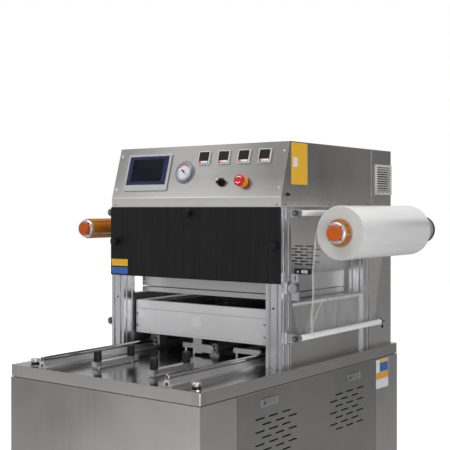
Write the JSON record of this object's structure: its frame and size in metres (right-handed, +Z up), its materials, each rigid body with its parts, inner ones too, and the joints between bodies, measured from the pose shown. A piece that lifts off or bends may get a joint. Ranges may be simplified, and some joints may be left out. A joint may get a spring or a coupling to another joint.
{
  "type": "tray sealer",
  "caption": "Semi-automatic tray sealing machine: steel cabinet, tray drawer on rails, sealing head, slanted control panel, film roll and take-up mandrel.",
  "frame": {"origin": "on the floor, under the middle of the machine's overall box", "axes": "+Z up, -Y towards the operator at the drawer, +X to the operator's right, where the film roll is"},
  "size_m": [1.2446, 1.226, 1.5413],
  "materials": {
    "stainless": "brushed",
    "polished_steel": "polished",
    "zinc_steel": "zinc plated",
    "cast_aluminium": "extruded",
    "machined_aluminium": "satin",
    "profile_aluminium": "anodised",
    "ground_steel": "ground",
    "black_rubber": "matt",
    "black_plastic": "satin",
    "silver_plastic": "satin",
    "screen_glass": "gloss",
    "gauge_metal": "polished",
    "yellow_plastic": "gloss",
    "red_plastic": "gloss",
    "black_cover": "matt",
    "grey_plastic": "matt",
    "dark_mould": "dark anodised",
    "orange_tube": "gloss",
    "orange_cap": "satin",
    "collar_metal": "turned",
    "hub_grey": "satin",
    "film_core": "matt",
    "film_roll": "gloss",
    "clear_film": "clear",
    "bracket_steel": "brushed",
    "roller_white": "satin"
  },
  "bodies": {
    "machine": {"levelling_feet": "zinc_steel", "cabinet_shell": "stainless", "side_doors": "stainless", "door_latches": "zinc_steel", "table_top": "polished_steel", "rail_supports": "cast_aluminium", "rail_shafts": "ground_steel", "table_bars": "cast_aluminium", "rubber_posts": "black_rubber", "button_collars": "black_plastic", "posts": "profile_aluminium", "side_panels": "stainless", "upper_housing": "stainless", "housing_floor": "stainless", "screen_frame": "silver_plastic", "screen_glass": "screen_glass", "vacuum_gauge": "gauge_metal", "temperature_controllers": "black_plastic", "stop_collar": "yellow_plastic", "front_cover": "black_cover", "cover_knobs": "black_plastic", "rear_column": "stainless", "column_front": "stainless", "louvre_vents": "grey_plastic", "drive_cylinder": "machined_aluminium", "head_guides": "machined_aluminium", "reel_arms": "hub_grey", "film_web": "clear_film", "roller_brackets": "bracket_steel", "sensor_bracket": "bracket_steel", "film_sensor": "black_plastic"},
    "drawer": {"drawer_frame": "machined_aluminium", "drawer_box": "machined_aluminium", "tray_mould": "dark_mould", "carriage": "machined_aluminium", "bearing_blocks": "machined_aluminium", "drive_bracket": "cast_aluminium", "piston_rod": "ground_steel"},
    "press_head": {"head_block": "machined_aluminium", "chamber_plate": "machined_aluminium", "press_rods": "ground_steel"},
    "supply_reel": {"supply_mandrel": "orange_tube", "supply_collar": "collar_metal", "supply_cap": "orange_cap", "film_core": "film_core", "film_roll": "film_roll"},
    "takeup_reel": {"takeup_mandrel": "orange_tube", "takeup_collar": "collar_metal", "takeup_cap": "orange_cap"},
    "roller_lower_right": {"roller_lower_right": "roller_white"},
    "roller_upper_right": {"roller_upper_right": "roller_white"},
    "roller_lower_left": {"roller_lower_left": "roller_white"},
    "roller_upper_left": {"roller_upper_left": "roller_white"},
    "start_button_left": {"start_button_left": "ground_steel"},
    "start_button_right": {"start_button_right": "ground_steel"},
    "selector": {"selector_knob": "black_plastic"},
    "emergency_stop": {"stop_button": "red_plastic"}
  },
  "joints": [
    {"name": "drawer_slide", "type": "slide", "parent": "machine", "child": "drawer", "axis": [0, -1, 0], "range_m": [0, 0.53]},
    {"name": "head_press", "type": "slide", "parent": "machine", "child": "press_head", "axis": [0, 0, -1], "range_m": [0, 0.025]},
    {"name": "supply_spin", "type": "hinge", "parent": "machine", "child": "supply_reel", "pos_m": [0.5353, -0.133, 1.2423], "axis": [0, -1, 0], "continuous": true},
    {"name": "takeup_spin", "type": "hinge", "parent": "machine", "child": "takeup_reel", "pos_m": [-0.5733, -0.133, 1.2423], "axis": [0, -1, 0], "continuous": true},
    {"name": "roller_lower_right_spin", "type": "hinge", "parent": "machine", "child": "roller_lower_right", "pos_m": [0.393, -0.108, 0.898], "axis": [0, -1, 0], "continuous": true},
    {"name": "roller_upper_right_spin", "type": "hinge", "parent": "machine", "child": "roller_upper_right", "pos_m": [0.393, -0.108, 1.305], "axis": [0, -1, 0], "continuous": true},
    {"name": "roller_lower_left_spin", "type": "hinge", "parent": "machine", "child": "roller_lower_left", "pos_m": [-0.431, -0.108, 0.898], "axis": [0, -1, 0], "continuous": true},
    {"name": "roller_upper_left_spin", "type": "hinge", "parent": "machine", "child": "roller_upper_left", "pos_m": [-0.431, -0.108, 1.305], "axis": [0, -1, 0], "continuous": true},
    {"name": "start_press_left", "type": "slide", "parent": "machine", "child": "start_button_left", "axis": [0, 0, -1], "range_m": [0, 0.003], "stiffness_N_per_m": 800, "springref_m": -0.002},
    {"name": "start_press_right", "type": "slide", "parent": "machine", "child": "start_button_right", "axis": [0, 0, -1], "range_m": [0, 0.003], "stiffness_N_per_m": 800, "springref_m": -0.002},
    {"name": "selector_turn", "type": "hinge", "parent": "machine", "child": "selector", "pos_m": [0.105, -0.14355, 1.40865], "axis": [0, 0.962, -0.2731], "range_deg": [0, 90]},
    {"name": "stop_press", "type": "slide", "parent": "machine", "child": "emergency_stop", "axis": [0, 0.962, -0.2731], "range_m": [0, 0.005]}
  ]
}
